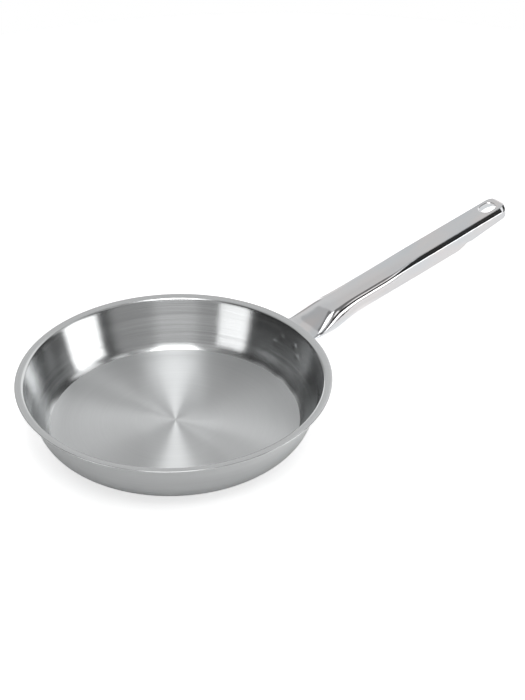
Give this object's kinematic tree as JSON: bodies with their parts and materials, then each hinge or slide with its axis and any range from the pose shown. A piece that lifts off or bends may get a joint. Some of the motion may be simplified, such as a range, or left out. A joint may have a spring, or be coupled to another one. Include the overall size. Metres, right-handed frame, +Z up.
{
  "type": "lyonnaise frying pan",
  "caption": "Low round frying pan with flared wall, flat pouring lip and sandwich base, and a long hollow tube handle that rises to a pressed end with a hanging hole.",
  "frame": {"origin": "middle of the flat face that the pan stands on, on the pan's own axis", "axes": "+Z up along the pan's axis, +X along the handle, +Y to the left of someone looking along the handle"},
  "size_m": [0.4581, 0.24, 0.0914],
  "materials": {
    "shell_steel": "satin, spun and brushed in circles",
    "braze": "dull",
    "core_aluminium": "rolled, matt",
    "cap_steel": "turned, matt",
    "handle_steel": "polished",
    "weld_steel": "pressed, satin"
  },
  "bodies": {
    "root": {"pan_shell": "shell_steel", "upper_braze_foil": "braze", "diffuser_disc": "core_aluminium", "lower_braze_foil": "braze", "base_cap": "cap_steel", "handle_tube": "handle_steel", "spot_weld_1": "weld_steel", "spot_weld_2": "weld_steel", "spot_weld_3": "weld_steel", "spot_weld_4": "weld_steel"}
  },
  "joints": []
}
